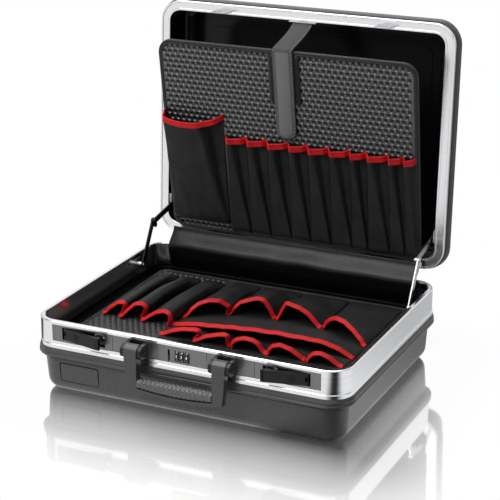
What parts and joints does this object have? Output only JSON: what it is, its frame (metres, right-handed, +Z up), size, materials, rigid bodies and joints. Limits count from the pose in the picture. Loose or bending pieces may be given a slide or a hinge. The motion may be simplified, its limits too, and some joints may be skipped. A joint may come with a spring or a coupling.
{
  "type": "tool case",
  "caption": "Hard shell tool case with a hinged lid, lever latches, a combination lock, a folding handle, lid stays and pocketed tool boards in both halves.",
  "frame": {"origin": "middle of the flat underside of the base, on the surface the case stands on", "axes": "+X to the right as seen from the front, +Y from the front with the handle to the hinges, +Z up"},
  "size_m": [0.4718, 0.4854, 0.4825],
  "materials": {
    "shell": "black moulded ABS with a fine grain",
    "frame_metal": "drawn aluminium frame, satin",
    "plate_metal": "brushed grey metal plate",
    "inner_plastic": "plain black moulding",
    "steel": "plated steel",
    "dial": "black dial with plain numbers",
    "lever": "black lacquered metal",
    "handle_plastic": "black moulded handle",
    "grip": "soft grip with a diamond pattern",
    "leatherette": "black leatherette",
    "strap_leather": "dark grey strap with sewn edges",
    "board_cloth": "dark grey perforated leatherette",
    "pocket_cloth": "black woven cloth",
    "trim": "red edge binding",
    "hook": "black hook-and-loop patch"
  },
  "bodies": {
    "base": {"base_shell": "shell", "base_frame": "frame_metal", "lock_plate_left": "plate_metal", "lock_plate_right": "plate_metal", "handle_plate_left": "plate_metal", "handle_plate_right": "plate_metal", "combination_plate": "plate_metal", "combination_housing": "inner_plastic", "dial_axle": "steel", "latch_pins": "steel", "latch_springs": "steel", "handle_pins": "steel", "board_supports": "inner_plastic", "hinge_base_leaves": "steel", "hinge_pins": "steel", "hinge_base_rivets": "steel", "hinge_flap": "leatherette", "stay_base_brackets": "steel"},
    "first_dial": {"dial_1": "dial"},
    "second_dial": {"dial_2": "dial"},
    "third_dial": {"dial_3": "dial"},
    "slider": {"lock_slider": "dial"},
    "left_latch": {"latch_lever_left": "lever", "latch_tongue_left": "steel"},
    "right_latch": {"latch_lever_right": "lever", "latch_tongue_right": "steel"},
    "left_key": {"key_cylinder_left": "lever"},
    "right_key": {"key_cylinder_right": "lever"},
    "carry_handle": {"handle": "handle_plastic", "handle_grip_pad": "grip"},
    "lid": {"lid_shell": "shell", "lid_frame": "frame_metal", "catch_tabs": "steel", "hinge_lid_leaves": "steel", "hinge_lid_rivets": "steel", "stay_lid_brackets": "steel", "strap_clamp": "steel", "strap": "strap_leather"},
    "lid_tool_board": {"lid_board": "board_cloth", "lid_board_binding": "leatherette", "lid_big_pocket": "pocket_cloth", "lid_small_pockets": "pocket_cloth", "lid_pocket_trims": "trim", "hook_patch": "hook"},
    "base_tool_board": {"base_board": "board_cloth", "base_board_binding": "leatherette", "base_left_pockets": "pocket_cloth", "base_rear_pockets": "pocket_cloth", "base_strip_pocket": "pocket_cloth", "base_front_pockets": "pocket_cloth", "base_pocket_trims": "trim"},
    "left_lower_stay": {"stay_lower_left": "steel", "stay_knuckle_left": "steel"},
    "right_lower_stay": {"stay_lower_right": "steel", "stay_knuckle_right": "steel"},
    "left_upper_stay": {"stay_upper_left": "steel"},
    "right_upper_stay": {"stay_upper_right": "steel"}
  },
  "joints": [
    {"name": "lid_hinge", "type": "hinge", "parent": "base", "child": "lid", "pos_m": [0, 0.192, 0.109], "axis": [1, 0, 0], "range_deg": [0, 93.5], "deforming": ["hinge_flap"]},
    {"name": "lid_board_tilt", "type": "hinge", "parent": "lid", "child": "lid_tool_board", "pos_m": [0, 0.1885, 0.134], "axis": [1, 0, 0], "range_deg": [-20.79, 0], "deforming": ["strap"]},
    {"name": "base_board_lift", "type": "slide", "parent": "base", "child": "base_tool_board", "axis": [0, 0, -1], "range_m": [-0.06, 0]},
    {"name": "handle_swing", "type": "hinge", "parent": "base", "child": "carry_handle", "pos_m": [0, -0.1945, 0.093], "axis": [-1, 0, 0], "range_deg": [0, 95]},
    {"name": "latch_left", "type": "hinge", "parent": "base", "child": "left_latch", "pos_m": [-0.181, -0.1774, 0.0918], "axis": [0, 0, 1], "range_deg": [0, 13], "stiffness_Nm_per_rad": 0.02},
    {"name": "latch_right", "type": "hinge", "parent": "base", "child": "right_latch", "pos_m": [0.181, -0.1774, 0.0918], "axis": [0, 0, -1], "range_deg": [0, 13], "stiffness_Nm_per_rad": 0.02},
    {"name": "key_turn_left", "type": "hinge", "parent": "left_latch", "child": "left_key", "pos_m": [-0.16005, -0.18224, 0.0918], "axis": [0.225, 0.9744, 0], "range_deg": [0, 90]},
    {"name": "key_turn_right", "type": "hinge", "parent": "right_latch", "child": "right_key", "pos_m": [0.16005, -0.18224, 0.0918], "axis": [-0.225, 0.9744, 0], "range_deg": [0, 90]},
    {"name": "dial_turn_1", "type": "hinge", "parent": "base", "child": "first_dial", "pos_m": [0, -0.1695, 0.09], "axis": [1, 0, 0], "continuous": true},
    {"name": "dial_turn_2", "type": "hinge", "parent": "base", "child": "second_dial", "pos_m": [0, -0.1695, 0.09], "axis": [1, 0, 0], "continuous": true},
    {"name": "dial_turn_3", "type": "hinge", "parent": "base", "child": "third_dial", "pos_m": [0, -0.1695, 0.09], "axis": [1, 0, 0], "continuous": true},
    {"name": "reset_slide", "type": "slide", "parent": "base", "child": "slider", "axis": [0, 0, 1], "range_m": [0, 0.008]},
    {"name": "stay_lower_left_turn", "type": "hinge", "parent": "base", "child": "left_lower_stay", "pos_m": [-0.2145, 0.104, 0.094], "axis": [1, 0, 0], "range_deg": [0, 93.5]},
    {"name": "stay_upper_left_turn", "type": "hinge", "parent": "lid", "child": "left_upper_stay", "pos_m": [-0.2115, 0.227, 0.169], "axis": [1, 0, 0], "range_deg": [-93.5, 0]},
    {"name": "stay_lower_right_turn", "type": "hinge", "parent": "base", "child": "right_lower_stay", "pos_m": [0.2145, 0.104, 0.094], "axis": [1, 0, 0], "range_deg": [0, 93.5]},
    {"name": "stay_upper_right_turn", "type": "hinge", "parent": "lid", "child": "right_upper_stay", "pos_m": [0.2115, 0.227, 0.169], "axis": [1, 0, 0], "range_deg": [-93.5, 0]}
  ],
  "couplings": [
    {"joint": "lid_board_tilt", "follows": "lid_hinge", "ratio": -0.217},
    {"joint": "stay_lower_left_turn", "follows": "lid_hinge", "ratio": 1},
    {"joint": "stay_upper_left_turn", "follows": "lid_hinge", "ratio": -1},
    {"joint": "stay_lower_right_turn", "follows": "lid_hinge", "ratio": 1},
    {"joint": "stay_upper_right_turn", "follows": "lid_hinge", "ratio": -1}
  ]
}
